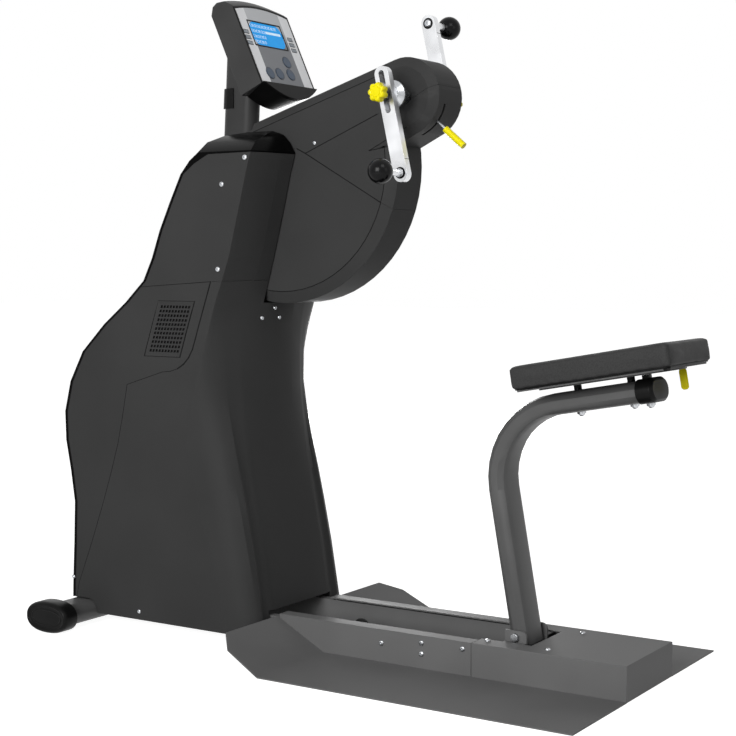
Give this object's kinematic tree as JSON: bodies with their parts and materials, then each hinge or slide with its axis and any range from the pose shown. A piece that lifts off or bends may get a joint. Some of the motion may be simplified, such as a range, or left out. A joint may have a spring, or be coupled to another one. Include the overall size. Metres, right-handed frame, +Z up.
{
  "type": "arm ergometer",
  "caption": "Floor-standing arm ergometer: tall moulded tower, pivoting boom with slotted hand cranks, console on a mast, low steel platform and a folding seat.",
  "frame": {"origin": "centre of the overall bounding box, on the floor", "axes": "+Z up, +X from the tower towards the seat, -Y the seated user's left"},
  "size_m": [1.57, 0.746, 1.4944],
  "materials": {
    "frame_paint": "satin anthracite powder coat",
    "tube_paint": "satin grey powder coat",
    "shell_plastic": "fine-textured black moulding",
    "gloss_shell": "high-gloss black moulding",
    "black_plastic": "satin black",
    "crank_aluminium": "bright machined",
    "bright_steel": "turned and plated",
    "black_rubber": "matt",
    "yellow_plastic": "smooth yellow",
    "seat_vinyl": "black grained vinyl over foam",
    "face_film": "silver film",
    "display": "backlit blue display behind a clear cover",
    "blue_keys": "satin blue",
    "silver_keys": "satin silver"
  },
  "bodies": {
    "base": {"platform_left": "frame_paint", "platform_right": "frame_paint", "deck_box": "frame_paint", "chassis_frame": "frame_paint", "rear_foot_tube": "tube_paint", "rear_foot_cap_left": "black_plastic", "rear_foot_cap_right": "black_plastic", "post_rest": "bright_steel", "post_rest_buffer": "black_rubber", "post_bracket": "frame_paint", "hinge_bolt": "bright_steel", "fork_left": "frame_paint", "fork_right": "frame_paint", "pivot_shaft": "bright_steel", "mast": "tube_paint", "mast_clip": "black_plastic", "lower_housing": "shell_plastic", "upper_housing_left": "shell_plastic", "upper_housing_right": "shell_plastic", "rear_cover": "gloss_shell", "side_panel_left": "shell_plastic", "side_panel_right": "shell_plastic", "vent_grille_left": "black_plastic", "vent_grille_right": "black_plastic", "console_housing": "tube_paint", "console_base": "black_plastic", "console_face": "face_film", "console_window": "display"},
    "boom": {"boom_frame": "frame_paint", "boom_upper_shell": "shell_plastic", "boom_lower_shell": "shell_plastic", "sector_shell": "shell_plastic", "drive_belt": "black_rubber"},
    "crank": {"crank_shaft": "bright_steel"},
    "flywheel": {"flywheel": "bright_steel"},
    "arm_left": {"crank_arm_left": "crank_aluminium"},
    "arm_right": {"crank_arm_right": "crank_aluminium"},
    "knob_left": {"star_knob_left": "yellow_plastic"},
    "knob_right": {"star_knob_right": "yellow_plastic"},
    "handle_left": {"ball_handle_left": "black_plastic"},
    "handle_right": {"ball_handle_right": "black_plastic"},
    "lever": {"release_lever": "bright_steel", "lever_grip": "yellow_plastic"},
    "post": {"seat_post": "tube_paint", "post_end_cap": "black_plastic", "seat_rail": "frame_paint"},
    "seat": {"seat_pan": "frame_paint", "seat_cushion": "seat_vinyl"},
    "seat_lever": {"seat_lever": "yellow_plastic"},
    "round_key_1": {"round_key_1": "blue_keys"},
    "round_key_2": {"round_key_2": "blue_keys"},
    "round_key_3": {"round_key_3": "blue_keys"},
    "round_key_4": {"round_key_4": "blue_keys"},
    "small_key_left_1": {"small_key_left_1": "silver_keys"},
    "small_key_left_2": {"small_key_left_2": "silver_keys"},
    "small_key_left_3": {"small_key_left_3": "silver_keys"},
    "small_key_right_1": {"small_key_right_1": "silver_keys"},
    "small_key_right_2": {"small_key_right_2": "silver_keys"},
    "small_key_right_3": {"small_key_right_3": "silver_keys"}
  },
  "joints": [
    {"name": "boom_height", "type": "hinge", "parent": "base", "child": "boom", "pos_m": [-0.19, 0, 1.09797], "axis": [0, -1, 0], "range_deg": [-30, 12]},
    {"name": "crank_spin", "type": "hinge", "parent": "boom", "child": "crank", "pos_m": [0.136, 0, 1.24548], "axis": [0, 1, 0], "continuous": true},
    {"name": "flywheel_spin", "type": "hinge", "parent": "boom", "child": "flywheel", "pos_m": [-0.054, 0, 0.96498], "axis": [0, 1, 0], "continuous": true},
    {"name": "release_lever_turn", "type": "hinge", "parent": "boom", "child": "lever", "pos_m": [0.136, 0, 1.24548], "axis": [0, 1, 0], "range_deg": [-22, 22], "stiffness_Nm_per_rad": 2},
    {"name": "seat_post_fold", "type": "hinge", "parent": "base", "child": "post", "pos_m": [0.41661, 0, 0.083], "axis": [0, -1, 0], "range_deg": [0, 79.6]},
    {"name": "seat_slide", "type": "slide", "parent": "post", "child": "seat", "axis": [0.9838, 0, 0.1793], "range_m": [-0.04, 0.04]},
    {"name": "seat_lever_turn", "type": "hinge", "parent": "seat", "child": "seat_lever", "pos_m": [0.74138, 0.059, 0.66019], "axis": [0, 1, 0], "range_deg": [0, 25], "stiffness_Nm_per_rad": 0.3, "springref_deg": -5.73},
    {"name": "arm_slide_left", "type": "slide", "parent": "crank", "child": "arm_left", "axis": [0.2209, 0, -0.9753], "range_m": [-0.036, 0.044]},
    {"name": "handle_spin_left", "type": "hinge", "parent": "arm_left", "child": "handle_left", "pos_m": [0.17454, -0.213, 1.07528], "axis": [0, 1, 0], "continuous": true},
    {"name": "knob_turn_left", "type": "hinge", "parent": "crank", "child": "knob_left", "pos_m": [0.136, -0.16, 1.24548], "axis": [0, 1, 0], "continuous": true},
    {"name": "arm_slide_right", "type": "slide", "parent": "crank", "child": "arm_right", "axis": [-0.2209, 0, 0.9753], "range_m": [-0.048, 0.032]},
    {"name": "handle_spin_right", "type": "hinge", "parent": "arm_right", "child": "handle_right", "pos_m": [0.09481, 0.213, 1.42737], "axis": [0, 1, 0], "continuous": true},
    {"name": "knob_turn_right", "type": "hinge", "parent": "crank", "child": "knob_right", "pos_m": [0.136, 0.16, 1.24548], "axis": [0, 1, 0], "continuous": true},
    {"name": "round_key_1_press", "type": "slide", "parent": "base", "child": "round_key_1", "axis": [-0.91, 0, -0.4147], "range_m": [0, 0.001], "stiffness_N_per_m": 500, "springref_m": -0.001},
    {"name": "round_key_2_press", "type": "slide", "parent": "base", "child": "round_key_2", "axis": [-0.91, 0, -0.4147], "range_m": [0, 0.001], "stiffness_N_per_m": 500, "springref_m": -0.001},
    {"name": "round_key_3_press", "type": "slide", "parent": "base", "child": "round_key_3", "axis": [-0.91, 0, -0.4147], "range_m": [0, 0.001], "stiffness_N_per_m": 500, "springref_m": -0.001},
    {"name": "round_key_4_press", "type": "slide", "parent": "base", "child": "round_key_4", "axis": [-0.91, 0, -0.4147], "range_m": [0, 0.001], "stiffness_N_per_m": 500, "springref_m": -0.001},
    {"name": "small_key_left_1_press", "type": "slide", "parent": "base", "child": "small_key_left_1", "axis": [-0.91, 0, -0.4147], "range_m": [0, 0.001], "stiffness_N_per_m": 500, "springref_m": -0.001},
    {"name": "small_key_left_2_press", "type": "slide", "parent": "base", "child": "small_key_left_2", "axis": [-0.91, 0, -0.4147], "range_m": [0, 0.001], "stiffness_N_per_m": 500, "springref_m": -0.001},
    {"name": "small_key_left_3_press", "type": "slide", "parent": "base", "child": "small_key_left_3", "axis": [-0.91, 0, -0.4147], "range_m": [0, 0.001], "stiffness_N_per_m": 500, "springref_m": -0.001},
    {"name": "small_key_right_1_press", "type": "slide", "parent": "base", "child": "small_key_right_1", "axis": [-0.91, 0, -0.4147], "range_m": [0, 0.001], "stiffness_N_per_m": 500, "springref_m": -0.001},
    {"name": "small_key_right_2_press", "type": "slide", "parent": "base", "child": "small_key_right_2", "axis": [-0.91, 0, -0.4147], "range_m": [0, 0.001], "stiffness_N_per_m": 500, "springref_m": -0.001},
    {"name": "small_key_right_3_press", "type": "slide", "parent": "base", "child": "small_key_right_3", "axis": [-0.91, 0, -0.4147], "range_m": [0, 0.001], "stiffness_N_per_m": 500, "springref_m": -0.001}
  ],
  "couplings": [
    {"joint": "flywheel_spin", "follows": "crank_spin", "ratio": 2.5}
  ]
}
